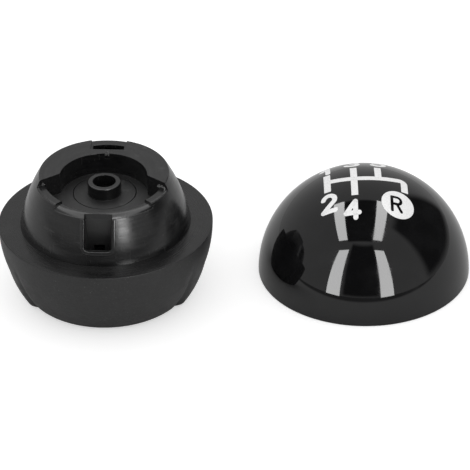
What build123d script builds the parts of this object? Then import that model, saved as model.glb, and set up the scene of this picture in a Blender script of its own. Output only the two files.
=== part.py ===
from build123d import *
import os
from math import asin, cos, degrees, radians, sin, sqrt, tan

# Ball-shaped gear shift knob in two halves. The base stands on its foot, with the lever
# socket on the Z axis and the latch pocket towards -Y. The clip-on cap lies beside it,
# taken off. Sizes are in millimetres. A "rise" is a height above the ledge, which is the
# plane where cap and base part and the height of the ball's centre.

# Ball and cap
ball_radius = 27.0
cap_wall = 2.0
cap_gap = 3.5  # free space between the cap's inside and the dome's foot
rim_round = 0.3

# Where the cap lies: free space between the two balls, direction and turn of the cap
cap_clear = 11.85
cap_bearing = 9.3
cap_turn = 3.5

# Core: dome side, an arc a little fuller than a straight cone
flange_radius = 16.2  # where the dome meets the flange
dome_bulge = 0.65

# Core: side strips, half flange and cup
strip_rise = 12.5
strip_width = 2.4
strip_round = 0.5
flange_thickness = 1.6
flange_width = 7.1  # at the back, where the flange is widest
flange_arc_radius = 11.0  # inner edge, an arc about a point in front of the axis
flange_end_drop = 1.0  # each flange end starts this far in front of the axis
flange_end_angle = 37.0  # slant of the flange ends towards the front
flange_round = 0.4
cup_depth = 4.3
cup_round = 1.2
floor_thickness = 2.2

# Core: rounded lip at the front of the cup
lip_drop = 0.5
lip_left_angle = 40.0  # from the pocket round to the end of the left strip
lip_right_angle = 48.0
lip_inner_round = 0.8
lip_outer_round = 2.2
crest_turn = 50.0  # how far the outer round of lip and strips turns down
crest_step = 0.15  # faint step where lip and strips meet the dome

# Core: slot in the flange for the cap's tab, between two ears
bridge_width = 1.95
slot_width = 7.9
slot_depth = 3.35
nib_recess = 0.6  # undercut behind the slot's outer wall
ear_spacing = 9.0
ear_drop = 0.65
notch_size = 0.9  # small gate mark in the bridge

# Core: latch pocket for the cap's finger, with a bead round it and a well behind its sill
pocket_width = 6.9
pocket_draft = 14.0  # side walls open towards the mouth by this much
pocket_spread = 7.0  # and upwards by this much
mouth_spare = 0.1  # at the sill they stand this far outside the mouth's edges
pocket_rise = 3.65
pocket_corner = 1.0
pocket_top_depth = 0.85
pocket_wall = 2.3
bead_width = 0.85
bead_height = 0.35
well_rise = 0.8
sill_wall = 0.9
window_width = 2.8
window_height = 2.2

# Core: sleeve, hub and ribs under the ledge
sleeve_wall = 2.0
sleeve_recess = 0.5
hub_wall = 1.65
rib_count = 6
rib_thickness = 1.6
rib_recess = 3.0

# Lever bush
lever_bore_radius = 6.0
bush_wall = 1.8
bush_gap = 0.2
bush_top_thickness = 2.2
socket_recess = 0.5
collar_thickness = 1.6
collar_seat = 1.2
boss_radius = 4.2
boss_bore_radius = 2.9
boss_height = 3.3
boss_round = 0.3

# Grip
bond_line = 0.05
ledge_height = 19.6
side_radius = 31.0  # arc of the grip's side, a little fuller than the ball
foot_round = 3.0
ledge_round = 0.4
lobe_drop = 3.5  # a side lobe starts under the skin this far below the ledge
lobe_root = 0.3
lobe_stand_out = 1.35
lobe_bulge = 1.35
lobe_half_angle = 33.5
lobe_crest_half_angle = 28.0
lobe_turn = 3.5  # the grip sits on the core with its lobes turned by this much

# Clips inside the cap
clip_clearance = 0.3
finger_thickness = 1.5
barb_depth = 1.2
nib_depth = 0.9
nib_height = 1.5


def ball_reach(radius, rise):
    """Radius of a ball's slice at a rise above its centre."""
    return sqrt(radius**2 - rise**2)


def side_reach(drop):
    """Radius of the grip's side at a drop below the ledge."""
    return ball_radius - side_radius + ball_reach(side_radius, drop)


# Radii that follow from the ball inwards
cap_inner_radius = ball_radius - cap_wall
dome_radius = cap_inner_radius - cap_gap
flange_rise = strip_rise + flange_thickness
dome_chord = sqrt((dome_radius - flange_radius) ** 2 + flange_rise**2)
dome_arc_radius = (dome_chord**2 / 4 + dome_bulge**2) / (2 * dome_bulge)
dome_lean = asin((dome_radius - flange_radius) / dome_chord)
dome_arc_inset = (dome_arc_radius - dome_bulge) * cos(dome_lean) - (dome_radius + flange_radius) / 2
dome_arc_drop = (dome_arc_radius - dome_bulge) * sin(dome_lean) - flange_rise / 2


def dome_reach(rise, lift=0.0):
    """Radius of the dome's side at a rise, on the arc grown by a lift."""
    return ball_reach(dome_arc_radius + lift, rise + dome_arc_drop) - dome_arc_inset


strip_outer_radius = dome_reach(strip_rise)
cup_radius = strip_outer_radius - strip_width
flange_back = flange_radius - flange_width
flange_arc_y = flange_back - flange_arc_radius
slot_inner = flange_back + bridge_width
slot_outer = slot_inner + slot_depth
pocket_back = strip_outer_radius - pocket_top_depth
cavity_radius = pocket_back - pocket_wall
sleeve_radius = cavity_radius + sleeve_wall
grip_bore_radius = sleeve_radius + bond_line
foot_radius = side_reach(ledge_height)
bush_radius = lever_bore_radius + bush_wall
hub_bore_radius = bush_radius + bush_gap
hub_radius = hub_bore_radius + hub_wall

# Rises that follow from the ledge
floor_rise = -ledge_height
lip_rise = strip_rise - lip_drop
cup_floor_rise = strip_rise - cup_depth
cavity_rise = cup_floor_rise - floor_thickness
bush_mouth_rise = floor_rise + socket_recess
hub_foot_rise = bush_mouth_rise + collar_thickness

# Width of the pocket's back wall at the bottom of the well, from the mouth inwards
sill_depth = dome_reach(pocket_rise) - pocket_back
sill_flare = sill_depth * tan(radians(pocket_draft)) + (pocket_rise - well_rise) * tan(radians(pocket_spread))
pocket_foot_width = pocket_width + 2 * (mouth_spare - sill_flare)


def turned(*edges, arc=360.0):
    """Solid turned about Z from a closed outline of (radius, rise) edges."""
    return revolve(Plane.XZ * make_face(edges), Axis.Z, arc)


def rounded_at(face, point, radius):
    """Face with the corner nearest to a point rounded."""
    corner = face.vertices().sort_by_distance(point)[0]
    return fillet(corner, radius)


def ball_arc(radius, low, high):
    """Outline of a ball between two rises."""
    start = degrees(asin(low / radius))
    end = degrees(asin(high / radius))
    return CenterArc((0, 0), radius, start, end - start)


def block(x_span, y_span, z_span):
    """Box between the low and high ends of three spans."""
    sizes = [high - low for low, high in (x_span, y_span, z_span)]
    return Pos(x_span[0], y_span[0], z_span[0]) * Box(*sizes, align=Align.MIN)


def across(width):
    """Span of a width centred on the X axis's zero."""
    return (-width / 2, width / 2)


def at_angle(radius, angle, rise):
    """Point at a radius, an angle from +X and a rise."""
    return Vector(radius * cos(radians(angle)), radius * sin(radians(angle)), rise)


def dome_side(lift):
    """Outline of the dome's side from the ledge to the flange, grown by a lift."""
    return ThreePointArc(*[(dome_reach(rise, lift), rise) for rise in (0, flange_rise / 2, flange_rise)])


def make_core_body():
    """Dome with a flat top, hub for the bush and sleeve for the grip."""
    sleeve_foot_rise = floor_rise + sleeve_recess
    outline = Polyline(
        (flange_radius, flange_rise),
        (hub_bore_radius, flange_rise),
        (hub_bore_radius, hub_foot_rise),
        (hub_radius, hub_foot_rise),
        (hub_radius, cavity_rise),
        (cavity_radius, cavity_rise),
        (cavity_radius, sleeve_foot_rise),
        (sleeve_radius, sleeve_foot_rise),
        (sleeve_radius, 0),
        (dome_radius, 0),
    )
    face = make_face([outline, dome_side(0)])
    face = rounded_at(face, (flange_radius, flange_rise), flange_round)
    return revolve(Plane.XZ * face, Axis.Z)


def make_ribs():
    """Radial ribs between hub and sleeve, sunk half a wall into each."""
    rib = block(
        (hub_radius - hub_wall / 2, cavity_radius + sleeve_wall / 2),
        across(rib_thickness),
        (hub_foot_rise + rib_recess, cavity_rise + floor_thickness / 2),
    )
    return [Rot(0, 0, turn * 360 / rib_count) * rib for turn in range(rib_count)]


def flange_opening():
    """Space inside the flange and in front of its slanting ends, from the cup's floor upwards."""
    end_y = -flange_end_drop
    end_x = ball_reach(flange_arc_radius, end_y - flange_arc_y)
    far_x = end_x + ball_radius * cos(radians(flange_end_angle))
    far_y = end_y - ball_radius * sin(radians(flange_end_angle))
    right = [(end_x, end_y), (far_x, far_y), (far_x, far_y - ball_radius)]
    left = [(-x, y) for x, y in reversed(right)]
    plan = make_face(Polyline(*right, *left, close=True))
    plan = plan + Pos(0, flange_arc_y) * Circle(flange_arc_radius)
    return Pos(0, 0, cup_floor_rise) * extrude(plan, ball_radius)


def make_cup():
    """Hollow of the cup, straight up inside the flange and rounded at its floor elsewhere."""
    height = flange_rise - cup_floor_rise
    face = Pos(cup_radius / 2, cup_floor_rise + height / 2) * Rectangle(cup_radius, height)
    face = rounded_at(face, (cup_radius, cup_floor_rise), cup_round)
    return revolve(Plane.XZ * face, Axis.Z) & flange_opening()


def crest_cut(rise, inner_round, outer_round, arc=360.0):
    """What is taken off the wall above a rounded crest, out to a faint step on the dome."""
    step_rise = rise - outer_round * (1 - cos(radians(crest_turn)))
    step_radius = dome_reach(step_rise) - crest_step
    crest_end = step_radius - outer_round * sin(radians(crest_turn))
    inner_start = (cup_radius, rise - inner_round)
    crest_start = (cup_radius + inner_round, rise)
    edges = [
        RadiusArc(inner_start, crest_start, inner_round),
        Line(crest_start, (crest_end, rise)),
        CenterArc((crest_end, rise - outer_round), outer_round, 90, -crest_turn),
        Polyline(
            (step_radius, step_rise),
            (ball_radius, step_rise),
            (ball_radius, ball_radius),
            (hub_radius, ball_radius),
            (hub_radius, rise - inner_round),
            inner_start,
        ),
    ]
    return turned(*edges, arc=arc)


def make_rim_cuts():
    """Cuts that leave the side strips, and the lower lip between their front ends."""
    strips = crest_cut(strip_rise, strip_round, strip_round)
    lip_arc = lip_left_angle + lip_right_angle
    lip = crest_cut(lip_rise, lip_inner_round, lip_outer_round, lip_arc)
    return [strips & flange_opening(), Rot(0, 0, -90 - lip_left_angle) * lip]


def make_slot_cuts():
    """Slot in the flange with its undercut, the space between the ears and the gate mark."""
    height = (cup_floor_rise, flange_rise)
    slot = block(across(slot_width), (slot_inner, slot_outer), height) & Cylinder(slot_outer, 2 * flange_rise)
    undercut = block(
        across(slot_width - 2 * clip_clearance),
        (slot_inner, slot_outer + nib_recess),
        (cup_floor_rise, strip_rise),
    )
    ears = block(
        across(ear_spacing),
        (slot_inner, ball_radius),
        (flange_rise - ear_drop, flange_rise + ear_drop),
    )
    mark = Box(notch_size, notch_size, 2 * flange_thickness)
    notch = Pos(0, flange_back, flange_rise) * Rot(0, 0, 45) * mark
    return [slot, undercut, ears, notch]


def pocket_outline(margin, top):
    """Face of the latch pocket, grown by a margin, with round lower corners."""
    low = pocket_rise - margin
    face = Pos(0, (low + top) / 2) * Rectangle(pocket_width + 2 * margin, top - low)
    corners = face.vertices().sort_by(Axis.Y)[:2]
    return Plane.XZ.offset(pocket_back) * fillet(corners, pocket_corner + margin)


def make_bead():
    """Thin raised bead on the dome, round the sides and sill of the pocket."""
    prism = extrude(pocket_outline(bead_width, lip_rise), ball_radius - pocket_back)
    side = dome_side(bead_height)
    return prism & turned(side, Polyline(side @ 1, (0, flange_rise), (0, 0), side @ 0))


def pocket_section(depth):
    """Cut across the pocket's hollow at a depth in front of its back wall."""
    low = pocket_foot_width / 2 + depth * tan(radians(pocket_draft))
    high = low + (flange_rise - well_rise) * tan(radians(pocket_spread))
    corners = [(-low, well_rise), (low, well_rise), (high, flange_rise), (-high, flange_rise)]
    return Plane.XZ.offset(pocket_back + depth) * make_face(Polyline(*corners, close=True))


def make_pocket_cuts():
    """Latch pocket open upwards, with a well behind its sill, and the barb's window."""
    reach = ball_radius - pocket_back
    hollow = loft([pocket_section(0), pocket_section(reach)], ruled=True)
    mouth = extrude(pocket_outline(0, flange_rise), reach)
    sill_back = pocket_back + sill_depth - sill_wall
    well = block(across(pocket_width), (-sill_back, -pocket_back), (well_rise, pocket_rise + pocket_corner))
    window = block(
        across(window_width),
        (-pocket_back - finger_thickness, -hub_radius),
        (well_rise, well_rise + window_height),
    )
    return [mouth & hollow, well & hollow, window]


def make_core():
    """Moulded core: dome, cup, half flange, lip, latch pocket, hub and sleeve."""
    body = make_core_body() + make_ribs() + make_bead()
    cuts = [make_cup(), *make_rim_cuts(), *make_slot_cuts(), *make_pocket_cuts()]
    return (body - cuts).solid()


def make_lever_bush():
    """Insert that takes the gear lever from below, with a bored boss in the cup."""
    socket_rise = cup_floor_rise - bush_top_thickness
    boss_rise = cup_floor_rise + boss_height
    collar_radius = hub_bore_radius + collar_seat
    outline = Polyline(
        (lever_bore_radius, bush_mouth_rise),
        (collar_radius, bush_mouth_rise),
        (collar_radius, hub_foot_rise),
        (bush_radius, hub_foot_rise),
        (bush_radius, cup_floor_rise),
        (boss_radius, cup_floor_rise),
        (boss_radius, boss_rise),
        (boss_bore_radius, boss_rise),
        (boss_bore_radius, socket_rise),
        (lever_bore_radius, socket_rise),
        close=True,
    )
    face = rounded_at(make_face(outline), (boss_radius, boss_rise), boss_round)
    return revolve(Plane.XZ * face, Axis.Z)


def make_bowl():
    """Lower half of the ball, flat at the ledge and the foot, bored for the sleeve."""
    side_turn = degrees(asin(ledge_height / side_radius))
    face = make_face(
        [
            Polyline(
                (foot_radius, floor_rise),
                (grip_bore_radius, floor_rise),
                (grip_bore_radius, 0),
                (ball_radius, 0),
            ),
            CenterArc((ball_radius - side_radius, 0), side_radius, 0, -side_turn),
        ]
    )
    face = rounded_at(face, (foot_radius, floor_rise), foot_round)
    face = rounded_at(face, (ball_radius, 0), ledge_round)
    return revolve(Plane.XZ * face, Axis.Z)


def lobe_side(side):
    """Sloping plane that ends a lobe, on the +Y side for 1 and on the -Y side for -1."""
    upper = at_angle(side_reach(lobe_drop), side * lobe_half_angle, -lobe_drop)
    foot = at_angle(foot_radius, side * lobe_half_angle, floor_rise)
    crest_radius = foot_radius + lobe_stand_out
    crest = at_angle(crest_radius, side * lobe_crest_half_angle, floor_rise)
    along = foot - upper
    inward = along.cross(crest - upper) * side
    return Plane(upper, x_dir=along, z_dir=inward)


def make_lobe():
    """Raised lobe on the +X side, fading into the grip's side upwards."""
    lobe_foot = (foot_radius + lobe_stand_out, floor_rise)
    lobe_top = (side_reach(lobe_drop) - lobe_root, -lobe_drop)
    inside = (grip_bore_radius + foot_radius) / 2
    face = make_face(
        [
            SagittaArc(lobe_foot, lobe_top, -lobe_bulge),
            Polyline(lobe_top, (inside, -lobe_drop), (inside, floor_rise), lobe_foot),
        ]
    )
    face = rounded_at(face, lobe_foot, foot_round)
    spare = 2 * lobe_half_angle
    lobe = Rot(0, 0, -spare) * revolve(Plane.XZ * face, Axis.Z, 2 * spare)
    for side in (1, -1):
        lobe = split(lobe, bisect_by=lobe_side(side), keep=Keep.TOP).solid()
    return lobe


def make_grip():
    """Soft grip: bowl with a raised lobe on each side."""
    lobe = make_lobe()
    return make_bowl() + [Rot(0, 0, lobe_turn + half_turn) * lobe for half_turn in (0, 180)]


def hooked_strip(width, inner, outer, tip_rise):
    """Upright strip inside the cap, from a tip up into the cap's wall."""
    strip = block(across(width), (inner, outer), (tip_rise, ball_radius))
    return strip & Sphere(cap_inner_radius + cap_wall / 2)


def hook(width, root, depth, tip_rise, catch_rise):
    """Wedge on a strip's side at root, flat on top at the catch and thin at the tip."""
    face = make_face(
        Polyline((root, tip_rise), (root, catch_rise), (root + depth, catch_rise), close=True)
    )
    return extrude(Plane.YZ * face, width / 2, both=True)


def make_finger():
    """Snap finger for the latch pocket, with its barb towards the axis."""
    inner = -(pocket_back + clip_clearance)
    tip_rise = well_rise + clip_clearance
    catch_rise = well_rise + window_height - clip_clearance
    width = pocket_foot_width - 2 * clip_clearance
    strip = hooked_strip(width, inner - finger_thickness, inner, tip_rise)
    return strip + hook(window_width - 2 * clip_clearance, inner, barb_depth, tip_rise, catch_rise)


def make_tab():
    """Hooked tab for the flange's slot, with its nib away from the axis."""
    width = slot_width - 4 * clip_clearance
    outer = ball_reach(slot_outer, width / 2) - clip_clearance
    catch_rise = strip_rise - clip_clearance
    tip_rise = catch_rise - nib_height
    strip = hooked_strip(width, slot_inner + clip_clearance, outer, tip_rise)
    return strip + hook(width, outer, nib_depth, tip_rise, catch_rise)


def make_cap():
    """Half-ball cap standing on its rim, with the clips moulded inside."""
    face = make_face(
        [
            ball_arc(ball_radius, 0, ball_radius),
            Line((0, ball_radius), (0, cap_inner_radius)),
            ball_arc(cap_inner_radius, 0, cap_inner_radius),
            Line((cap_inner_radius, 0), (ball_radius, 0)),
        ]
    )
    shell = revolve(Plane.XZ * rounded_at(face, (ball_radius, 0), rim_round), Axis.Z)
    return shell + make_finger() + make_tab()


def cap_place():
    """Place of the cap on the floor, beside the base."""
    centre = at_angle(2 * ball_radius + cap_clear, cap_bearing, 0)
    return Pos(centre.X, centre.Y, 0) * Rot(0, 0, cap_turn)


on_foot = Pos(0, 0, ledge_height)
nodes = {
    "cap": cap_place() * make_cap(),
    "core": on_foot * make_core(),
    "grip": on_foot * make_grip(),
    "lever_bush": on_foot * make_lever_bush(),
}

os.makedirs("parts", exist_ok=True)
for name, solid in nodes.items():
    export_step(solid, f"parts/{name}.step")
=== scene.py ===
import bpy
import numpy as np
from mathutils import Matrix, Vector


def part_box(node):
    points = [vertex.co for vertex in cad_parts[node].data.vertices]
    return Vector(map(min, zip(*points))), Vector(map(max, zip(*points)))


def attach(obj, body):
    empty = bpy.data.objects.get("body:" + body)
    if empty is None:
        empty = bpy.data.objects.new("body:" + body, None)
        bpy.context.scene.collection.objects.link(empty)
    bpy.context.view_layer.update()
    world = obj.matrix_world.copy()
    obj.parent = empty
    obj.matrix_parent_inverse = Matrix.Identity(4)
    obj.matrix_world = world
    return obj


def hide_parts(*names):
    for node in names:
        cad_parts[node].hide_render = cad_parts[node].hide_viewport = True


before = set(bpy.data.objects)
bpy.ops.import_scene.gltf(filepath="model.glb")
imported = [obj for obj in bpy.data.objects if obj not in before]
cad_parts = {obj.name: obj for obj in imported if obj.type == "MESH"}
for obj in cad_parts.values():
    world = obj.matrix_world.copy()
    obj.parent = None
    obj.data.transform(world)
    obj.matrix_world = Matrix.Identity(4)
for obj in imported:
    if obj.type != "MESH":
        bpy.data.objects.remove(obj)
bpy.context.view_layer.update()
scene = bpy.context.scene
scene.view_settings.view_transform = "Standard"
mm = 0.001
deg = np.pi / 180

# places that every piece shares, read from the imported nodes
capLow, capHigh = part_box("cap")
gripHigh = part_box("grip")[1]
ballRadius = capHigh.z  # the cap stands on its rim, so it is one radius high
ledgeHeight = gripHigh.z
capCentre = np.array([(capLow.x + capHigh.x) / 2, (capLow.y + capHigh.y) / 2, 0.0])
capTurn = 3.5 * deg  # the cap lies turned by this much on the floor
plainSharp = 35 * deg  # on most pieces, edges that turn by more than this stay sharp
print("frame loaded, ball radius", round(ballRadius / mm, 2), "mm")


# mesh helpers

# Faces of a grid of points whose columns close into rings; its rows close too on request.
def gridFaces(rows, columns, ringRows=False):
    r, c = np.meshgrid(np.arange(rows if ringRows else rows - 1), np.arange(columns), indexing="ij")
    rNext, cNext = (r + 1) % rows, (c + 1) % columns
    quads = [r * columns + c, rNext * columns + c, rNext * columns + cNext, r * columns + cNext]
    return np.stack(quads, -1).reshape(-1, 4)


# Triangles from one pole point to the ring of points that starts at ringStart.
def fanFaces(pole, ringStart, columns, flip):
    a = ringStart + np.arange(columns)
    b = ringStart + (np.arange(columns) + 1) % columns
    return np.stack([np.full(columns, pole), b, a] if flip else [np.full(columns, pole), a, b], -1)


# Turned skin: each (radius, height) of the profile goes round Z once; a radius of zero is a pole.
def turnedSkin(radius, height, columns):
    angle = np.arange(columns) * 2 * np.pi / columns
    inside = radius > 0
    r, z = radius[inside], height[inside]
    grid = np.stack([
        np.outer(r, np.cos(angle)), np.outer(r, np.sin(angle)), np.repeat(z[:, None], columns, 1)], -1)
    points, faces = [grid.reshape(-1, 3)], [gridFaces(len(r), columns).tolist()]
    for pole, ring, flip in ((0, 0, False), (-1, (len(r) - 1) * columns, True)):
        if not inside[pole]:
            index = sum(len(p) for p in points)
            points.append(np.array([[0, 0, height[pole]]]))
            faces.append(fanFaces(index, ring, columns, flip).tolist())
    return np.concatenate(points), sum(faces, [])


# Rings of one outline stacked one after the other, closed by a face at each end.
def stackedRings(rings):
    levels, count = rings.shape[:2]
    faces = gridFaces(levels, count)[:, ::-1].tolist()
    faces.append(list(range(count))[::-1])
    faces.append(list(range((levels - 1) * count, levels * count)))
    return rings.reshape(-1, 3), faces


# Several shells in one list of points and faces.
def joinShells(shells):
    points, faces, start = [], [], 0
    for shellPoints, shellFaces in shells:
        points.append(shellPoints)
        faces += [[i + start for i in f] for f in shellFaces]
        start += len(shellPoints)
    return np.concatenate(points), faces


# A shell turned about Z and moved onto the cap's place.
def ontoCap(points, faces):
    c, s = np.cos(capTurn), np.sin(capTurn)
    turn = np.array([[c, -s, 0], [s, c, 0], [0, 0, 1]])
    return points @ turn.T + capCentre, faces


# Puts points and faces into a mesh object that rides on the root body.
def makePiece(name, points, faces, material, slotName, sharpAngle=plainSharp):
    mesh = bpy.data.meshes.new(name)
    mesh.from_pydata(points.tolist(), [], faces)
    mesh.polygons.foreach_set("use_smooth", np.ones(len(mesh.polygons), bool))
    mesh.set_sharp_from_angle(angle=sharpAngle)
    mesh.materials.append(material)
    mesh.update()
    piece = bpy.data.objects.new(name, mesh)
    scene.collection.objects.link(piece)
    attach(piece, "root")
    print("piece", name, len(mesh.vertices), "points")
    return piece


# path and number helpers; a path is a list of points in plan

# Arc of an ellipse, from one angle in degrees to another.
def arc(cx, cy, rx, ry, start, end, count=24):
    a = np.linspace(start, end, count) * deg
    return np.stack([cx + rx * np.cos(a), cy + ry * np.sin(a)], -1)


# Straight run through the given points.
def line(*points):
    return np.array(points, float)


# One path or list of values out of several, end to end.
def chain(*paths):
    return np.concatenate(paths)


# Path resampled at even steps along its length.
def evenPath(path, step, fewest=4):
    run = np.concatenate([[0], np.cumsum(np.linalg.norm(np.diff(path, axis=0), axis=1))])
    along = np.linspace(0, run[-1], max(fewest, int(np.ceil(run[-1] / step))))
    return np.stack([np.interp(along, run, path[:, i]) for i in (0, 1)], -1)


# Unit directions along a path and a quarter turn to its left.
def pathFrame(path):
    ahead = np.gradient(path, axis=0)
    ahead /= np.linalg.norm(ahead, axis=1, keepdims=True)
    return ahead, np.stack([-ahead[:, 1], ahead[:, 0]], -1)


# Even steps between two values, without the values themselves.
def between(start, end, count):
    return np.linspace(start, end, count + 2)[1:-1]


# Soft step from 0 to 1: three t squared less two t cubed.
def smooth(t):
    t = np.clip(t, 0, 1)
    return t * t * (3 - 2 * t)


# shader helpers; in the looks below a noise is its scale, detail and roughness, a band is the two values that
# a soft step runs between, and a bump is its strength and distance

# Nodes of one tree: add gives a node, math and what follows it give output sockets.
class Nodes:
    def __init__(self, tree):
        self.tree = tree

    def add(self, kind, **values):
        node = self.tree.nodes.new(kind)
        for key, value in values.items():
            setattr(node, key, value)
        return node

    def link(self, output, socket):
        self.tree.links.new(output, socket)

    def math(self, operation, *inputs, clamp=False):
        node = self.add("ShaderNodeMath", operation=operation, use_clamp=clamp)
        for socket, value in zip(node.inputs, inputs):
            if isinstance(value, (int, float)):
                socket.default_value = value
            else:
                self.link(value, socket)
        return node.outputs[0]

    # x, y and z of a vector
    def split(self, vector):
        node = self.add("ShaderNodeSeparateXYZ")
        self.link(vector, node.inputs[0])
        return node.outputs

    # distance from the Z axis
    def fromAxis(self, x, y):
        return self.math("SQRT", self.math("ADD", self.math("MULTIPLY", x, x), self.math("MULTIPLY", y, y)))

    def noise(self, vector, scale, detail=2.0, roughness=0.5, stretch=None):
        if stretch:
            mapping = self.add("ShaderNodeMapping")
            mapping.inputs["Scale"].default_value = stretch
            self.link(vector, mapping.inputs["Vector"])
            vector = mapping.outputs[0]
        node = self.add("ShaderNodeTexNoise")
        node.inputs["Scale"].default_value = scale
        node.inputs["Detail"].default_value = detail
        node.inputs["Roughness"].default_value = roughness
        self.link(vector, node.inputs["Vector"])
        return node.outputs["Fac"]

    # soft step from low to high while the value runs through a band
    def ramp(self, value, low, high, fromLow=0.0, fromHigh=1.0):
        node = self.add("ShaderNodeMapRange", interpolation_type="SMOOTHSTEP")
        for key, number in zip(("From Min", "From Max", "To Min", "To Max"), (fromLow, fromHigh, low, high)):
            node.inputs[key].default_value = number
        self.link(value, node.inputs["Value"])
        return node.outputs["Result"]

    # soft step with its middle at an edge
    def step(self, value, edge, soft, before, after):
        return self.ramp(value, before, after, edge - soft, edge + soft)


# A fresh node group with a Vector and further values in, and masks or heights out.
def startGroup(name, inputs, outputs):
    tree = bpy.data.node_groups.new(name, "ShaderNodeTree")
    tree.interface.new_socket("Vector", in_out="INPUT", socket_type="NodeSocketVector")
    for way, sockets in (("INPUT", inputs), ("OUTPUT", outputs)):
        for socket in sockets:
            tree.interface.new_socket(socket, in_out=way, socket_type="NodeSocketFloat")
    k = Nodes(tree)
    return tree, k, k.add("NodeGroupInput").outputs, k.add("NodeGroupOutput").inputs


# Shared effect: fine grain of a moulded skin, as a height, and the sparse pale dust caught in it.
grainLook = dict(detail=3.0, pitScale=0.55, pitDepth=0.6, speck=(2600.0, 1.0), speckBand=(0.66, 0.76),
                 patch=(120.0, 2.0), patchBand=(0.45, 0.65), patchLeast=0.15)


# Height: noise plus the distance to the pits' centres. Dust: specks where the patches are.
def buildGrain():
    look = grainLook
    tree, k, inside, outside = startGroup("mouldGrain", ["Grain Scale"], ["Height", "Dust"])
    vector, scale = inside["Vector"], inside["Grain Scale"]
    fine = k.add("ShaderNodeTexNoise")
    fine.inputs["Detail"].default_value = look["detail"]
    k.link(vector, fine.inputs["Vector"])
    k.link(scale, fine.inputs["Scale"])
    pits = k.add("ShaderNodeTexVoronoi")
    k.link(vector, pits.inputs["Vector"])
    k.link(k.math("MULTIPLY", scale, look["pitScale"]), pits.inputs["Scale"])
    pitHeight = k.math("MULTIPLY", pits.outputs["Distance"], look["pitDepth"])
    k.link(k.math("ADD", fine.outputs["Fac"], pitHeight), outside["Height"])
    specks = k.ramp(k.noise(vector, *look["speck"]), 0.0, 1.0, *look["speckBand"])
    patches = k.ramp(k.noise(vector, *look["patch"]), look["patchLeast"], 1.0, *look["patchBand"])
    k.link(k.math("MULTIPLY", specks, patches), outside["Dust"])
    return tree


# Shared effect: faint rubs and hairline scratches left by handling.
rubLook = dict(rub=(170.0, 4.0, 0.6), rubBand=(0.4, 0.7), hair=(300.0, 2.0, 0.5), hairBand=(0.66, 0.72),
               hairStretch=((1, 1, 9), (9, 2, 1)))


# Rub: blotchy noise. Scratch: the peaks of two noises squeezed across the hairlines' directions.
def buildRubs():
    look = rubLook
    tree, k, inside, outside = startGroup("handlingRubs", [], ["Rub", "Scratch"])
    vector = inside["Vector"]
    k.link(k.ramp(k.noise(vector, *look["rub"]), 0.0, 1.0, *look["rubBand"]), outside["Rub"])
    hairs = [k.noise(vector, *look["hair"], stretch) for stretch in look["hairStretch"]]
    thin = [k.ramp(hair, 0.0, 1.0, *look["hairBand"]) for hair in hairs]
    k.link(k.math("MAXIMUM", *thin), outside["Scratch"])
    return tree


# Shared effect: fine streaks round the lever's axis, long in angle and thin in radius and height.
streakLook = dict(turnLength=1.6 * mm, noise=(1500.0, 3.0, 0.6), band=(0.35, 0.68))


# Streak: noise over the distance from the axis, a short length for each radian of turn, and the height.
def buildStreaks():
    look = streakLook
    tree, k, inside, outside = startGroup("spunStreaks", [], ["Streak"])
    x, y, z = k.split(inside["Vector"])
    spun = k.add("ShaderNodeCombineXYZ")
    k.link(k.fromAxis(x, y), spun.inputs["X"])
    k.link(k.math("MULTIPLY", k.math("ARCTAN2", x, y), look["turnLength"]), spun.inputs["Y"])
    k.link(z, spun.inputs["Z"])
    k.link(k.ramp(k.noise(spun.outputs[0], *look["noise"]), 0.0, 1.0, *look["band"]), outside["Streak"])
    return tree


grainGroup, rubGroup, streakGroup = buildGrain(), buildRubs(), buildStreaks()


# A fresh material with its Principled shader and Object coordinates.
def startMaterial(name):
    material = bpy.data.materials.new(name)
    material.use_nodes = True
    k = Nodes(material.node_tree)
    shader = material.node_tree.nodes["Principled BSDF"]
    return material, k, shader, k.add("ShaderNodeTexCoord").outputs["Object"]


# Outputs of a shared effect at a place.
def useGroup(k, tree, vector, grainScale=None):
    node = k.add("ShaderNodeGroup", node_tree=tree)
    k.link(vector, node.inputs["Vector"])
    if grainScale:
        node.inputs["Grain Scale"].default_value = grainScale
    return node.outputs


# Colour between dark and light by a mask.
def tint(k, mask, dark, light, socket):
    mix = k.add("ShaderNodeMix", data_type="RGBA")
    mix.inputs["A"].default_value = (*dark, 1)
    mix.inputs["B"].default_value = (*light, 1)
    k.link(mask, mix.inputs["Factor"])
    k.link(mix.outputs["Result"], socket)


# Bump of a height, over another normal on request.
def bumpInto(k, shader, height, strength, distance, normal=None):
    bump = k.add("ShaderNodeBump")
    if normal:
        k.link(normal, bump.inputs["Normal"])
    bump.inputs["Strength"].default_value = strength
    bump.inputs["Distance"].default_value = distance
    k.link(height, bump.inputs["Height"])
    k.link(bump.outputs["Normal"], shader.inputs["Normal"])


# Polished black plastic: faint moulded waviness and a thin haze of rubs.
glossLook = dict(dark=(0.0035, 0.0035, 0.0038), haze=(0.006, 0.006, 0.0064), rough=(0.035, 0.075), ior=1.5,
                 wave=(60.0, 1.0), bump=(0.05, 0.05 * mm))


def glossBlack():
    material, k, shader, place = startMaterial("capGlossBlack")
    rubs = useGroup(k, rubGroup, place)
    tint(k, rubs["Rub"], glossLook["dark"], glossLook["haze"], shader.inputs["Base Color"])
    k.link(k.ramp(rubs["Rub"], *glossLook["rough"]), shader.inputs["Roughness"])
    shader.inputs["IOR"].default_value = glossLook["ior"]
    bumpInto(k, shader, k.noise(place, *glossLook["wave"]), *glossLook["bump"])
    return material


# White print: slightly uneven ink, dull beside the polish round it.
inkLook = dict(thin=(0.86, 0.86, 0.86), full=(0.97, 0.97, 0.97), rough=0.42, mottle=(2400.0, 3.0, 0.6),
               band=(0.35, 0.55), bump=(0.2, 0.02 * mm))


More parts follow.
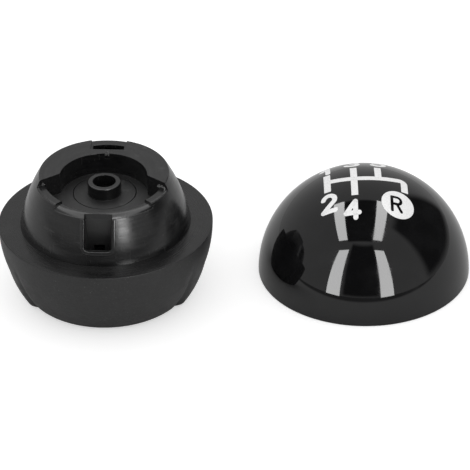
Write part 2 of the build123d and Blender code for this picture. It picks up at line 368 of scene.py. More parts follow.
def whiteInk():
    look = inkLook
    material, k, shader, place = startMaterial("printWhite")
    mottle = k.noise(place, *look["mottle"])
    tint(k, k.ramp(mottle, 0.0, 1.0, *look["band"]), look["thin"], look["full"], shader.inputs["Base Color"])
    shader.inputs["Roughness"].default_value = look["rough"]
    bumpInto(k, shader, mottle, *look["bump"])
    return material


# Soft grip skin: matte side with a fine grain and dust caught in it, smoother streaked ledge.
softLook = dict(
    dark=(0.0085, 0.0085, 0.0087), dust=(0.075, 0.075, 0.075), rough=(0.5, 0.6), ior=1.48, specular=0.48,
    grain=2300.0, bump=(0.5, 0.06 * mm), rub=0.08, sidePale=0.03, grainPale=0.15,
    ledgeBand=(0.05 * mm, 0.005 * mm), ledgeRough=(0.2, 0.3), ledgeStreak=0.05, ledgeGrain=0.2)


def softSkin():
    look = softLook
    material, k, shader, place = startMaterial("gripSoftBlack")
    grain = useGroup(k, grainGroup, place, look["grain"])
    rubs = useGroup(k, rubGroup, place)
    streak = useGroup(k, streakGroup, place)["Streak"]
    ledge = k.ramp(k.split(place)["Z"], 0.0, 1.0, *[ledgeHeight - drop for drop in look["ledgeBand"]])
    side = k.math("SUBTRACT", 1.0, ledge)
    streaks = k.math("MULTIPLY", k.math("MULTIPLY", streak, ledge), look["ledgeStreak"])
    marks = k.math("ADD", k.math("MULTIPLY", rubs["Rub"], look["rub"]), streaks)
    pale = k.math("MULTIPLY_ADD", grain["Height"], look["grainPale"], look["sidePale"])
    marks = k.math("ADD", marks, k.math("MULTIPLY", side, pale))
    marks = k.math("ADD", k.math("MULTIPLY", grain["Dust"], side), marks, clamp=True)
    tint(k, marks, look["dark"], look["dust"], shader.inputs["Base Color"])
    smoother, rougher = k.ramp(streak, *look["ledgeRough"]), k.ramp(rubs["Rub"], *look["rough"])
    k.link(k.math("ADD", k.math("MULTIPLY", smoother, ledge), k.math("MULTIPLY", rougher, side)),
           shader.inputs["Roughness"])
    shader.inputs["IOR"].default_value = look["ior"]
    shader.inputs["Specular IOR Level"].default_value = look["specular"]
    height = k.math("MULTIPLY", grain["Height"], k.ramp(ledge, 1.0, look["ledgeGrain"]))
    bumpInto(k, shader, height, *look["bump"])
    return material


# Satin black plastic: hairlines, a little dust and streaks; the cup's floor is dull, the latch pocket dull
# and painted paler towards its head, a painted light that fades to painted shade towards its foot.
satinLook = dict(
    dark=(0.006, 0.006, 0.0063), rough=(0.2, 0.27), ior=1.5, edge=0.16 * mm,
    grain=1500.0, bump=(0.06, 0.03 * mm), scratch=0.7, dust=0.4, streak=0.16,
    cup=dict(radius=14.6 * mm, height=28.2 * mm, soft=0.2 * mm, rough=0.5),
    pocket=dict(half=3.3 * mm, reach=(13.0 * mm, 20.1 * mm), rise=(1.0 * mm, 10.4 * mm), soft=0.15 * mm,
                # pale and paintedLightRise: painted light on the pocket's back wall, paler towards its head,
                # painted shade at its foot
                rough=0.46, pale=(0.2, 0.75), paintedLightRise=(3.0 * mm, 9.0 * mm)))
satinKinds = dict(  # shift of the roughness, strength of the streaks, painted highlight all over, colour of the marks and painted light
    core=dict(name="coreSatinBlack", shift=0.0, streaks=1.0, paintedHighlight=0.0, pale=(0.03, 0.03, 0.03)),
    bush=dict(name="bushSatinBlack", shift=0.06, streaks=0.2, paintedHighlight=0.0, pale=(0.03, 0.03, 0.03)),
    # the bead's constant lift of its marks and its paler mark colour are a painted highlight along its crest
    bead=dict(name="beadPaintedHighlightBlack", shift=-0.02, streaks=0.6, paintedHighlight=0.15, pale=(0.06, 0.06, 0.06)))


# Mask of the latch pocket: soft steps at its two sides, its back, the dome's face, its foot and its head.
def pocketMask(k, x, y, z, reach):
    look = satinLook["pocket"]
    soft, (near, far), (foot, head) = look["soft"], look["reach"], look["rise"]
    mask = k.step(k.math("ABSOLUTE", x), look["half"], soft, 1.0, 0.0)
    for value, edge, before, after in ((y, -near, 1.0, 0.0), (reach, far, 1.0, 0.0),
                                       (z, ledgeHeight + foot, 0.0, 1.0), (z, ledgeHeight + head, 1.0, 0.0)):
        mask = k.math("MULTIPLY", mask, k.step(value, edge, soft, before, after))
    return mask


# Mask of the cup's floor: within a radius and below a height just over the floor, with a soft edge.
def cupMask(k, z, reach):
    look = satinLook["cup"]
    edges = ((reach, look["radius"]), (z, look["height"]))
    return k.math("MULTIPLY", *[k.ramp(value, 1.0, 0.0, edge - look["soft"], edge) for value, edge in edges])


def satinBlack(name, shift, streaks, paintedHighlight, pale):
    look, pocket = satinLook, satinLook["pocket"]
    material, k, shader, place = startMaterial(name)
    rubs = useGroup(k, rubGroup, place)
    grain = useGroup(k, grainGroup, place, look["grain"])
    streak = k.math("MULTIPLY", useGroup(k, streakGroup, place)["Streak"], streaks)
    x, y, z = k.split(place)
    reach = k.fromAxis(x, y)
    inPocket, inCup = pocketMask(k, x, y, z, reach), cupMask(k, z, reach)
    marks = k.math("ADD", k.math("MULTIPLY", rubs["Scratch"], look["scratch"]),
                   k.math("MULTIPLY", grain["Dust"], look["dust"]))
    # painted light: the latch pocket is painted paler towards its head and darker towards its foot, for light
    # falling into it and shade at its foot
    paintedPocketLight = k.ramp(z, *pocket["pale"], *[ledgeHeight + rise for rise in pocket["paintedLightRise"]])
    # the constant lift added here is a painted highlight, used on the bead only
    marks = k.math("ADD", k.math("ADD", marks, paintedHighlight), k.math("MULTIPLY", inPocket, paintedPocketLight))
    marks = k.math("ADD", marks, k.math("MULTIPLY", streak, look["streak"]), clamp=True)
    tint(k, marks, look["dark"], pale, shader.inputs["Base Color"])
    dull = k.math("MAXIMUM", k.math("MULTIPLY", inCup, look["cup"]["rough"]),
                  k.math("MULTIPLY", inPocket, pocket["rough"]))
    satin = k.ramp(streak, *[rough + shift for rough in look["rough"]])
    k.link(k.math("MAXIMUM", satin, dull), shader.inputs["Roughness"])
    shader.inputs["IOR"].default_value = look["ior"]
    edge = k.add("ShaderNodeBevel")
    edge.inputs["Radius"].default_value = look["edge"]
    bumpInto(k, shader, grain["Height"], *look["bump"], edge.outputs[0])
    return material


# Torn plastic: the same black, whitened in patches where it was pulled.
tornLook = dict(dark=(0.02, 0.02, 0.02), white=(0.24, 0.24, 0.24), rough=0.5, patch=(5200.0, 2.0),
                patchBand=(0.35, 0.65), shreds=(7800.0, 2.0), bump=(0.4, 0.05 * mm))


def tornPlastic():
    look = tornLook
    material, k, shader, place = startMaterial("tornPlastic")
    patches = k.ramp(k.noise(place, *look["patch"]), 0.0, 1.0, *look["patchBand"])
    tint(k, patches, look["dark"], look["white"], shader.inputs["Base Color"])
    shader.inputs["Roughness"].default_value = look["rough"]
    bumpInto(k, shader, k.noise(place, *look["shreds"]), *look["bump"])
    return material


gloss, ink, skin = glossBlack(), whiteInk(), softSkin()
coreSatin, bushSatin, beadSatin = [satinBlack(**kind) for kind in satinKinds.values()]
torn = tornPlastic()
print("materials made")


# cap: half ball with an open rim
capLook = dict(wall=2.0 * mm, rimRound=0.3 * mm, rows=90, rimRows=8, columns=256, sharp=60 * deg)


# Profile of the cap: down the outer ball, round the rim's edge, then up the inner ball.
def capProfile():
    inner = ballRadius - capLook["wall"]
    edge = capLook["rimRound"]
    edgeRise = np.arcsin(edge / (ballRadius - edge))  # where the rim's round leaves the ball
    edgeCentre = (ballRadius - edge) * np.cos(edgeRise)
    down = np.linspace(np.pi / 2, edgeRise, capLook["rows"])
    turn = np.linspace(edgeRise, -np.pi / 2, capLook["rimRows"])[1:]
    up = np.linspace(0, np.pi / 2, capLook["rows"])
    radius = chain(ballRadius * np.cos(down), edgeCentre + edge * np.cos(turn), inner * np.cos(up))
    height = chain(ballRadius * np.sin(down), edge + edge * np.sin(turn), inner * np.sin(up))
    radius[[0, -1]] = 0  # both ends are poles
    return radius, height


# The profile turned about the cap's axis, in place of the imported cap.
def makeCap():
    points, faces = ontoCap(*turnedSkin(*capProfile(), capLook["columns"]))
    piece = makePiece("capShell", points, faces, gloss, "cap_gloss", capLook["sharp"])
    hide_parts("cap")


makeCap()

# clips inside the cap: an upright strip each, with a wedge-shaped hook at its tip
clipLook = dict(corner=0.25 * mm, hookCorner=0.05 * mm, cornerPoints=5, levels=12, sink=1.0 * mm,
                thinnest=0.08)
fingerLook = dict(x=(-1.803 * mm, 1.803 * mm), y=(-18.047 * mm, -16.547 * mm), tip=1.1 * mm,
                  hookX=(-1.1 * mm, 1.1 * mm), hookY=(-16.62 * mm, -15.347 * mm), catch=2.7 * mm)
tabLook = dict(x=(-3.35 * mm, 3.35 * mm), y=(11.35 * mm, 13.705 * mm), tip=10.7 * mm,
               hookX=(-3.35 * mm, 3.35 * mm), hookY=(13.62 * mm, 14.605 * mm), catch=12.2 * mm)


# Outline of a rectangle with round corners, as a closed ring of points.
def roundedRing(xSpan, ySpan, corner):
    turn = np.linspace(0, np.pi / 2, clipLook["cornerPoints"])
    xs, ys = [], []
    for quarter, (sx, sy) in enumerate(((1, 1), (0, 1), (0, 0), (1, 0))):
        a = turn + quarter * np.pi / 2
        xs.append(xSpan[sx] + (1 - 2 * sx) * corner + corner * np.cos(a))
        ys.append(ySpan[sy] + (1 - 2 * sy) * corner + corner * np.sin(a))
    return np.concatenate(xs), np.concatenate(ys)


# Strip: a rounded rectangle carried up from its tip until it meets a ball inside the cap's wall.
def clipStrip(look):
    x, y = roundedRing(look["x"], look["y"], clipLook["corner"])
    roof = np.sqrt((ballRadius - clipLook["sink"]) ** 2 - x**2 - y**2)
    share = np.linspace(0, 1, clipLook["levels"])[:, None]
    z = look["tip"] + share * (roof - look["tip"])
    return stackedRings(np.stack([np.broadcast_to(x, z.shape), np.broadcast_to(y, z.shape), z], -1))


# Hook: the same kind of ring, thin at the tip and full at the catch.
def clipHook(look):
    low, high = look["hookY"]
    share = np.linspace(clipLook["thinnest"], 1, clipLook["levels"])
    rings = []
    for s, z in zip(share, np.linspace(look["tip"], look["catch"], clipLook["levels"])):
        x, y = roundedRing(look["hookX"], (low, low + s * (high - low)), clipLook["hookCorner"])
        rings.append(np.stack([x, y, np.full(x.shape, z)], -1))
    return stackedRings(np.array(rings))


def makeClips():
    shells = [make(look) for look in (fingerLook, tabLook) for make in (clipStrip, clipHook)]
    makePiece("capClips", *ontoCap(*joinShells(shells)), gloss, "cap_gloss")


makeClips()

# shift pattern printed on the crown, laid out in plan (mm from the cap's axis) and dropped onto the ball
printLook = dict(rise=0.03 * mm, sink=0.2 * mm, soft=0.05 * mm, bar=1.75, stroke=1.3, letter=0.78, step=0.12,
                 flat=0.94, endRows=8, endGap=0.06)
gateLook = dict(
    columns=(-9.5, -2.75, 3.4, 9.9), shortEnds=(-3.5, 4.7), longEnds=(-6.5, 6.5), crossBend=0.0095,
    reverseEnd=-3.9, corner=1.0, crossPoints=40, cornerPoints=9)
glyphPlaces = {  # middle of each figure, its width and its height
    "1": (-9.6, 8.7, 1.8, 5.4), "2": (-9.25, -7.4, 3.1, 4.9), "3": (-2.8, 10.7, 2.9, 4.6),
    "4": (-3.5, -10.7, 3.2, 4.5), "5": (3.9, 10.7, 3.0, 4.6)}
discLook = dict(middle=(7.92, -8.3), radius=4.1, flat=0.985, rings=14, columns=96)
reverseLook = dict(middle=(7.7, -8.45), width=2.4, height=4.1, rise=0.05 * mm)
glyphStrokes = {  # in a unit box
    "1": [line((0.75, 0), (0.75, 1)), line((0.75, 1), (-0.1, 0.55))],
    "2": [chain(arc(0.5, 0.7, 0.46, 0.3, 165, -28), line((0.04, 0))), line((0.04, 0), (0.98, 0))],
    "3": [arc(0.45, 0.745, 0.45, 0.255, 160, -90), arc(0.42, 0.25, 0.52, 0.26, 90, -160)],
    "4": [line((0.74, 0), (0.74, 1)), line((0.74, 1), (0, 0.28)), line((0, 0.28), (1, 0.28))],
    "5": [line((0.9, 1), (0.2, 1)),
          chain(line((0.2, 1), (0.12, 0.53)), arc(0.42, 0.31, 0.52, 0.31, 112, -155))],
    "R": [line((0, 0), (0, 1)), chain(line((0, 1)), arc(0.55, 0.74, 0.4, 0.26, 90, -90), line((0, 0.48))),
          line((0.5, 0.48), (0.95, 0))]}


# Height of the print over a place in plan: the ball's own, raised by the ink or sunk into the wall.
def overBall(x, y, lift):
    return np.sqrt((ballRadius + lift) ** 2 - x**2 - y**2)


# Stroke: a flat section carried along a path in plan; its half width follows a circle at round ends.
def inkStroke(path, width, rise, roundEnds=True):
    look = printLook
    path = evenPath(np.asarray(path, float), look["step"])
    ahead, side = pathFrame(path)
    half = np.full(len(path), width / 2)
    if roundEnds:
        rows = look["endRows"]
        turn = np.linspace(0, np.pi / 2 - look["endGap"], rows + 1)[1:]  # along the end's half circle
        reach, narrow = np.sin(turn)[:, None] * width / 2, np.cos(turn) * width / 2
        path = chain(path[:1] - ahead[:1] * reach[::-1], path, path[-1:] + ahead[-1:] * reach)
        side = chain(np.repeat(side[:1], rows, 0), side, np.repeat(side[-1:], rows, 0))
        half = chain(narrow[::-1], half, narrow)
    flat, shoulder, foot = look["flat"], rise - look["soft"], -look["sink"]
    across = np.array([-1, -1, -flat, -0.5, 0, 0.5, flat, 1, 1])
    lift = np.array([foot, shoulder, rise, rise, rise, rise, rise, shoulder, foot])
    plan = (path[:, None] + side[:, None] * (half[:, None] * across)[:, :, None]) * mm
    z = overBall(plan[..., 0], plan[..., 1], lift)
    return stackedRings(np.concatenate([plan, z[..., None]], -1)[:, ::-1])


# Disc: rings from its middle to its edge, then down into the wall and closed below.
def inkDisc(look):
    rise, sink = printLook["rise"], printLook["sink"]
    share = np.concatenate([np.linspace(0, look["flat"], look["rings"]), [1.0, 1.0, 0.0]])
    lift = np.full(share.shape, rise)
    lift[-3:] = rise - printLook["soft"], -sink, -sink
    points, faces = turnedSkin(share * look["radius"] * mm, lift, look["columns"])
    points[:, :2] += np.array(look["middle"]) * mm
    points[:, 2] = overBall(points[:, 0], points[:, 1], points[:, 2])
    return points, faces


# Gate: a crossbar, bent as a parabola, that turns down into the reverse lane by a quarter circle, and the
# three other lanes.
def gateStrokes():
    one, three, five, reverse = gateLook["columns"]
    bend, corner = gateLook["crossBend"], gateLook["corner"]
    x = np.linspace(one, reverse - corner, gateLook["crossPoints"])
    level = bend * (reverse - corner) ** 2
    a = np.linspace(0, np.pi / 2, gateLook["cornerPoints"])
    turn = np.stack([reverse - corner + corner * np.sin(a), level - corner + corner * np.cos(a)], -1)
    cross = chain(np.stack([x, bend * x**2], -1), turn[1:], line((reverse, gateLook["reverseEnd"])))
    lanes = [[(one, y) for y in gateLook["shortEnds"]], [(three, y) for y in gateLook["longEnds"]],
             [(five, bend * five**2), (five, gateLook["longEnds"][1])]]
    return [cross, *lanes]


# White gate, figures and disc in one piece, and the black letter that lies a little higher on the disc.
def makePrint():
    rise = printLook["rise"]
    shells = [inkStroke(path, printLook["bar"], rise, False) for path in gateStrokes()]
    for sign, (cx, cy, width, height) in glyphPlaces.items():
        for stroke in glyphStrokes[sign]:
            place = (stroke - 0.5) * (width, height) + (cx, cy)
            shells.append(inkStroke(place, printLook["stroke"], rise))
    shells.append(inkDisc(discLook))
    makePiece("shiftPattern", *ontoCap(*joinShells(shells)), ink, "cap_gloss")
    size, middle = (reverseLook["width"], reverseLook["height"]), reverseLook["middle"]
    letter = [inkStroke((stroke - 0.5) * size + middle, printLook["letter"], reverseLook["rise"])
              for stroke in glyphStrokes["R"]]
    makePiece("reverseLetter", *ontoCap(*joinShells(letter)), gloss, "cap_gloss")


makePrint()

# grip: ring with ball-shaped side, a raised lobe on each side and a soft valley along each lobe's flank
gripLook = dict(
    bore=15.997 * mm, sideRadius=31.0 * mm, footRound=3.0 * mm, ledgeRound=0.18 * mm, columns=540,
    boreRows=12, ledgeRows=12, edgeRows=8, sideRows=80, footRows=16, underRows=6,
    lobeStart=10.3 * mm, lobeSlope=0.126, lobeTurn=3.5, crestAngle=27.5, flankAngle=33.5,
    valley=0.34 * mm, valleyWidth=2.1, valleyStart=3.0 * mm, valleyRun=8.0 * mm)


# How far the lobes stand out of the side: in proportion to the drop below their start, across the crest
# between two flanks, with a soft valley along the foot of each flank.
def lobeHeight(drop, angle):
    look = gripLook
    below = np.maximum(drop - look["lobeStart"], 0)
    away = np.abs((angle - look["lobeTurn"] + 90) % 180 - 90)  # degrees from the middle of the nearer lobe
    ridge = 1 - smooth((away - look["crestAngle"]) / (look["flankAngle"] - look["crestAngle"]))
    deep = smooth((drop - look["valleyStart"]) / look["valleyRun"])
    dip = np.exp(-(((away - look["flankAngle"]) / look["valleyWidth"]) ** 2)) * deep
    return look["lobeSlope"] * below * ridge - look["valley"] * dip


# Round of a given radius about a centre, from one angle to another, as (radius, height) rows.
def roundRows(centre, radius, start, end, rows):
    a = np.linspace(start, end, rows)
    return np.stack([centre[0] + radius * np.cos(a), centre[1] + radius * np.sin(a)], -1)


# Grip section at each angle: up the bore, out along the ledge, over its round, down the side's arc, round the
# foot and back in along the floor. Both rounds touch the arc and their plane.
def gripSkin():
    look = gripLook
    angle = np.arange(look["columns"]) * 360 / look["columns"]
    lr, fr, sr = look["ledgeRound"], look["footRound"], look["sideRadius"]
    boreRows, ledgeRows, underRows = look["boreRows"], look["ledgeRows"], look["underRows"]
    middle = ballRadius - sr  # the side's arc has its centre here, level with the ledge
    topTurn, footTurn = np.arcsin(lr / (sr - lr)), np.arcsin((ledgeHeight - fr) / (sr - fr))
    ledgeEnd = middle + (sr - lr) * np.cos(topTurn)
    footEnd = middle + (sr - fr) * np.cos(footTurn)
    bore = np.stack([np.full(boreRows, look["bore"]), np.linspace(0, ledgeHeight, boreRows)], -1)
    ledge = np.stack([between(look["bore"], ledgeEnd, ledgeRows), np.full(ledgeRows, ledgeHeight)], -1)
    edge = roundRows((ledgeEnd, ledgeHeight - lr), lr, np.pi / 2, -topTurn, look["edgeRows"])
    side = roundRows((middle, ledgeHeight), sr, -topTurn, -footTurn, look["sideRows"])[1:-1]
    foot = roundRows((footEnd, fr), fr, -footTurn, -np.pi / 2, look["footRows"])
    under = np.stack([between(footEnd, look["bore"], underRows), np.zeros(underRows)], -1)
    rows = chain(bore, ledge, edge, side, foot, under)
    lobed = np.zeros(len(rows))  # bore and ledge stay round, and the lobes fade out along the floor
    lobed[boreRows + ledgeRows:] = 1.0
    lobed[-underRows:] = between(1, 0, underRows)
    radius = rows[:, :1] + lobed[:, None] * lobeHeight(ledgeHeight - rows[:, 1:], angle[None])
    height = rows[:, 1:] * np.ones(look["columns"])
    grid = np.stack([radius * np.cos(angle * deg), radius * np.sin(angle * deg), height], -1)
    return grid.reshape(-1, 3), gridFaces(len(radius), look["columns"], True).tolist()


gripPiece = makePiece("gripSkin", *gripSkin(), skin, "grip_soft")
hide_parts("grip")

# bead round the latch pocket: a low rounded ridge that follows the dome, its path in mm from the middle and
# above the ledge
domeLook = dict(foot=21.5 * mm, top=16.2 * mm, rise=14.1 * mm, bulge=0.65 * mm, probe=0.1 * mm)
beadLook = dict(half=3.875, low=3.225, high=11.1, corner=1.425, cornerPoints=12, step=0.12, halfWidth=0.52,
                height=0.5 * mm, sink=0.3 * mm, across=17, sharp=80 * deg)


# Radius of the dome's side at a rise: an arc through its foot and top that leaves their chord by the bulge.
def domeReach(rise):
    foot, top, high, bulge = domeLook["foot"], domeLook["top"], domeLook["rise"], domeLook["bulge"]
    chord = np.hypot(foot - top, high)
    radius = (chord**2 / 4 + bulge**2) / (2 * bulge)
    lean = np.arcsin((foot - top) / chord)
    inset = (radius - bulge) * np.cos(lean) - (foot + top) / 2
    drop = (radius - bulge) * np.sin(lean) - high / 2
    return np.sqrt(radius**2 - (rise + drop) ** 2) - inset


# Points on the front of the dome at x and a rise, lifted along its outward direction.
def onDomeFront(x, rise, lift):
    reach, probe = domeReach(rise), domeLook["probe"]
    slope = (domeReach(rise - probe) - domeReach(rise + probe)) / (2 * probe)
    flat = lift / np.sqrt(1 + slope**2)
    y = -np.sqrt(reach**2 - x**2)
    return np.stack([x * (1 + flat / reach), y * (1 + flat / reach), ledgeHeight + rise + flat * slope], -1)


# Bead along a U on the dome: its section goes half a turn, with the root of the cosine across and the root of
# the sine in height, which gives it full round shoulders.
def pocketBead():
    look = beadLook
    half, low, high, corner = look["half"], look["low"], look["high"], look["corner"]
    left = arc(-half + corner, low + corner, corner, corner, 180, 270, look["cornerPoints"])
    right = arc(half - corner, low + corner, corner, corner, 270, 360, look["cornerPoints"])
    path = evenPath(chain(line((-half, high)), left, right, line((half, high))), look["step"])
    side = pathFrame(path)[1]
    turn = np.linspace(np.pi, 0, look["across"])
    across = np.sign(np.cos(turn)) * np.sqrt(np.abs(np.cos(turn)))
    lift = look["height"] * np.sqrt(np.abs(np.sin(turn)))
    across = chain([-1], across, [1]) * look["halfWidth"]
    lift = chain([-look["sink"]], lift, [-look["sink"]])
    plan = (path[:, None] + side[:, None] * across[None, :, None]) * mm
    rings = onDomeFront(plan[..., 0], plan[..., 1], np.broadcast_to(lift, plan.shape[:2]))
    return stackedRings(rings[:, ::-1])


makePiece("pocketBead", *pocketBead(), beadSatin, "core_satin", beadLook["sharp"])

# torn edges: thin ragged fins left on the ends of the flange and at the gate mark, in mm from the lever's
# axis and above the ledge; each wave has its pitch and how many times it takes the fin's phase
finLook = dict(thick=0.14, height=0.85, ragged=0.45, least=0.05, steps=40, sway=0.07, swayPitch=17,
               waves=((11, 1), (23, 2), (41, 0)))
finGroups = (  # foot of the fins, phase of the first and step to the next, and the two ends of each in plan
    dict(foot=12.1, phase=0.0, phaseStep=1.3, paths=(
        ((13.5, -3.1), (15.6, -4.7)), ((15.7, -4.5), (15.4, -6.1)), ((-15.4, -4.55), (-14.4, -3.75)))),
    dict(foot=13.45, phase=0.7, phaseStep=1.0, paths=(
        ((-0.55, 9.0), (0.0, 9.5)), ((0.0, 9.5), (0.5, 8.9)))))


# Fin: a thin strip along a line in plan, whose top follows the mean of three sines and falls to the ends.
def tornFin(ends, foot, phase):
    look = finLook
    share = np.linspace(0, 1, look["steps"])
    start, end = np.array(ends)
    ahead = (end - start) / np.linalg.norm(end - start)
    side = np.array([-ahead[1], ahead[0]])
    sway = look["sway"] * np.sin(look["swayPitch"] * share + phase)
    rags = sum(np.sin(pitch * share + part * phase) for pitch, part in look["waves"]) / len(look["waves"])
    top = foot + (look["height"] + look["ragged"] * rags) * np.sin(np.pi * share) ** 0.5 + look["least"]
    middle = start + (end - start) * share[:, None] + side * sway[:, None]
    left, right = middle + side * look["thick"] / 2, middle - side * look["thick"] / 2
    under = np.full(share.shape, foot)
    plan, rise = np.stack([right, left, left, right], 1), np.stack([under, under, top, top], 1)
    points, faces = stackedRings(np.concatenate([plan, rise[..., None]], -1) * mm)
    return points + (0, 0, ledgeHeight), faces


def makeFins():
    shells = [tornFin(ends, group["foot"], group["phase"] + i * group["phaseStep"])
              for group in finGroups for i, ends in enumerate(group["paths"])]
    makePiece("tornEdges", *joinShells(shells), torn, "core_satin")


makeFins()

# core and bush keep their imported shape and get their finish
for node, finish in (("core", coreSatin), ("lever_bush", bushSatin)):
    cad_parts[node].data.materials.clear()
    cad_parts[node].data.materials.append(finish)
print("core and bush finished")

# studio: white floor that falls off to the front in reflections, soft room light with dark zones that only
# show in polish, and strip lights that do so too; a strip's spans are shares of how far or high it stands
floorLook = dict(half=3.0, color=0.8, fill=0.5, dim=0.75, dimFrom=-0.07, dimTo=-0.12)
roomLook = dict(seen=0.75, dark=0.05, light=1.12, lowest=0.05)
darkZones = (  # azimuth from the front towards +X, then elevation, in degrees
    dict(across=(-21, 18), up=(1, 57), soft=2.5), dict(across=(75, 145), up=(2, 61), soft=5.0))
roofZone = dict(across=(-0.33, 0.19), up=(-0.54, 0.41), soft=0.03)  # on a plane one unit overhead
baseStrip = dict(away=0.75, span=(0.425, 0.76), heights=(0.12, 2.6), level=8.0)
baseRoof = dict(height=0.6, span=(-0.7, 0.7), depths=(-0.7, 0.9), level=1.8)
frontStrips = dict(away=0.75, spans=((-0.781, -0.439), (0.34, 0.645)), heights=(0.0, 1.3), level=10.0)
roofStrips = dict(height=1.2, spans=((-0.53, -0.33), (0.19, 0.38)), depths=(-0.5, 0.41), level=10.0)


# Floor: one square of matte white, a little brighter to the camera and dimmer to polish in front of the knob.
def makeFloor():
    half = floorLook["half"]
    corners = [(-half, -half, 0), (half, -half, 0), (half, half, 0), (-half, half, 0)]
    mesh = bpy.data.meshes.new("floor")
    mesh.from_pydata(corners, [], [(0, 1, 2, 3)])
    material = bpy.data.materials.new("floorWhite")
    material.use_nodes = True
    material.node_tree.nodes.clear()
    k = Nodes(material.node_tree)
    paper, glow = k.add("ShaderNodeBsdfDiffuse"), k.add("ShaderNodeEmission")
    path = k.add("ShaderNodeLightPath")
    y = k.split(k.add("ShaderNodeTexCoord").outputs["Object"])["Y"]
    front = k.ramp(y, floorLook["dim"], 0.0, floorLook["dimTo"], floorLook["dimFrom"])
    white = k.math("SUBTRACT", 1.0, k.math("MULTIPLY", front, path.outputs["Is Glossy Ray"]))
    shade = k.add("ShaderNodeCombineXYZ")
    for socket in shade.inputs:
        k.link(k.math("MULTIPLY", white, floorLook["color"]), socket)
    k.link(shade.outputs[0], paper.inputs["Color"])
    k.link(k.math("MULTIPLY", path.outputs["Is Camera Ray"], floorLook["fill"]), glow.inputs["Strength"])
    both, out = k.add("ShaderNodeAddShader"), k.add("ShaderNodeOutputMaterial")
    k.link(paper.outputs[0], both.inputs[0])
    k.link(glow.outputs[0], both.inputs[1])
    k.link(both.outputs[0], out.inputs["Surface"])
    mesh.materials.append(material)
    floor = bpy.data.objects.new("floor", mesh)
    scene.collection.objects.link(floor)


# How far a direction lies inside a zone of the room: a soft step in and out in each of its two coordinates.
def zoneMask(k, across, up, zone, unit):
    soft = zone["soft"] * unit
    steps = []
    for value, (low, high) in ((across, zone["across"]), (up, zone["up"])):
        steps.append(k.step(value, low * unit, soft, 0.0, 1.0))
        steps.append(k.step(value, high * unit, soft, 1.0, 0.0))
    return k.math("MULTIPLY", k.math("MULTIPLY", *steps[:2]), k.math("MULTIPLY", *steps[2:]))


# Room: even light for matte surfaces; polish sees a pale room with a dark front, right side and roof.
def makeRoom():
    world = bpy.data.worlds.new("room")
    world.use_nodes = True
    scene.world = world
    world.node_tree.nodes.clear()
    k = Nodes(world.node_tree)
    path = k.add("ShaderNodeLightPath")
    x, y, z = k.split(k.add("ShaderNodeTexCoord").outputs["Generated"])
    azimuth, elevation = k.math("ARCTAN2", x, k.math("MULTIPLY", y, -1.0)), k.math("ARCSINE", z)
    dark = k.math("MAXIMUM", *[zoneMask(k, azimuth, elevation, zone, deg) for zone in darkZones])
    overhead = k.math("MAXIMUM", z, roomLook["lowest"])
    roof = zoneMask(k, k.math("DIVIDE", x, overhead), k.math("DIVIDE", y, overhead), roofZone, 1.0)
    dark = k.math("MAXIMUM", dark, roof)
    polish = k.math("ADD", roomLook["seen"], k.math("MULTIPLY", dark, roomLook["dark"] - roomLook["seen"]))
    seen = k.math("MAXIMUM", path.outputs["Is Glossy Ray"], path.outputs["Is Transmission Ray"])
    matte = k.math("MULTIPLY", k.math("SUBTRACT", 1.0, seen), roomLook["light"])
    level = k.math("ADD", k.math("MULTIPLY", seen, polish), matte)
    white = k.math("MAXIMUM", level, path.outputs["Is Camera Ray"])
    room, out = k.add("ShaderNodeBackground"), k.add("ShaderNodeOutputWorld")
    k.link(white, room.inputs["Strength"])
    k.link(room.outputs[0], out.inputs["Surface"])


# Strip light: a rectangle of even brightness that shows in polish only.
def stripLight(name, middle, size, aim, level, lit):
    lamp = bpy.data.lights.new(name, "AREA")
    lamp.shape = "RECTANGLE"
    lamp.size, lamp.size_y = size
    lamp.energy = level * np.pi * size[0] * size[1]
    piece = bpy.data.objects.new(name, lamp)
    scene.collection.objects.link(piece)
    turn = Vector(aim).to_track_quat("-Z", "Y").to_matrix().to_4x4()
    piece.matrix_world = Matrix.Translation(middle) @ turn
    piece.visible_diffuse = False
    piece.visible_camera = False
    piece.light_linking.receiver_collection = lit


# Upright strip that stands in front of a place and faces it.
def frontLight(name, look, span, place, lit):
    d, (left, right), (low, high) = look["away"], span, look["heights"]
    middle = place + Vector(((left + right) / 2 * d, -d, (low + high) / 2 * d))
    stripLight(name, middle, ((right - left) * d, (high - low) * d), (0, 1, 0), look["level"], lit)


# Level strip that hangs over a place and faces down.
def roofLight(name, look, span, place, lit):
    h, (left, right), (near, far) = look["height"], span, look["depths"]
    middle = place + Vector(((left + right) / 2 * h, (near + far) / 2 * h, h))
    stripLight(name, middle, ((right - left) * h, (far - near) * h), (0, 0, -1), look["level"], lit)


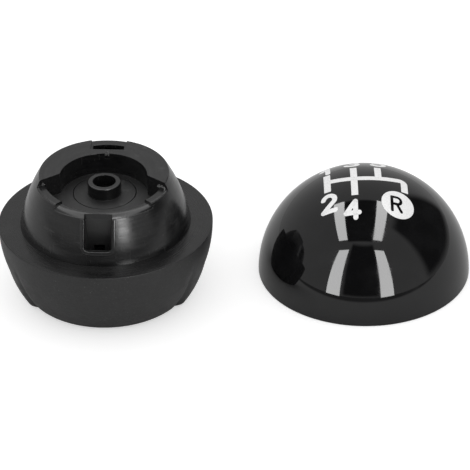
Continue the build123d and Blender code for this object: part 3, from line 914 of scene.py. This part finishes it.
# A named set of objects for lights that belong to one half of the knob.
def litSet(name, items):
    lit = bpy.data.collections.new(name)
    for item in items:
        lit.objects.link(item)
    return lit


# Two strips before and two above the cap, and one of each for the base; the one above lights the core only.
def makeLights():
    capNames = ("capShell", "capClips", "shiftPattern", "reverseLetter")
    capSet = litSet("capLit", [scene.objects[name] for name in capNames])
    corePieces = [*[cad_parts[name] for name in ("core", "lever_bush")],
                  *[scene.objects[name] for name in ("pocketBead", "tornEdges")]]
    coreSet = litSet("coreLit", corePieces)
    baseSet = litSet("baseLit", [*corePieces, gripPiece])
    basePlace, capPlace = Vector((0, 0, 0)), Vector(capCentre)
    frontLight("baseStrip", baseStrip, baseStrip["span"], basePlace, baseSet)
    roofLight("baseRoof", baseRoof, baseRoof["span"], basePlace, coreSet)
    for i, span in enumerate(frontStrips["spans"]):
        frontLight(f"frontStrip{i}", frontStrips, span, capPlace, capSet)
    for i, span in enumerate(roofStrips["spans"]):
        roofLight(f"roofStrip{i}", roofStrips, span, capPlace, capSet)


# Camera: stands off from its aim at the photograph's azimuth and elevation, with a long lens.
cameraLook = dict(azimuth=3.5, elevation=32.55, roll=-0.657, distance=0.8096, focalPixels=3181.0,
                  imagePixels=470, sensor=36.0, clip=(0.01, 20.0), aim=(32.22 * mm, 6.322 * mm, 11.88 * mm))


def makeCamera():
    look = cameraLook
    a, e = look["azimuth"] * deg, look["elevation"] * deg
    back = Vector((np.sin(a) * np.cos(e), -np.cos(a) * np.cos(e), np.sin(e)))
    data = bpy.data.cameras.new("camera")
    data.sensor_width = look["sensor"]
    data.lens = look["focalPixels"] / look["imagePixels"] * look["sensor"]
    data.clip_start, data.clip_end = look["clip"]
    camera = bpy.data.objects.new("camera", data)
    scene.collection.objects.link(camera)
    turn = (-back).to_track_quat("-Z", "Y").to_matrix().to_4x4() @ Matrix.Rotation(look["roll"] * deg, 4, "Z")
    camera.matrix_world = Matrix.Translation(Vector(look["aim"]) + back * look["distance"]) @ turn
    scene.camera = camera


makeFloor()
makeRoom()
makeLights()
makeCamera()
print("studio and camera set")
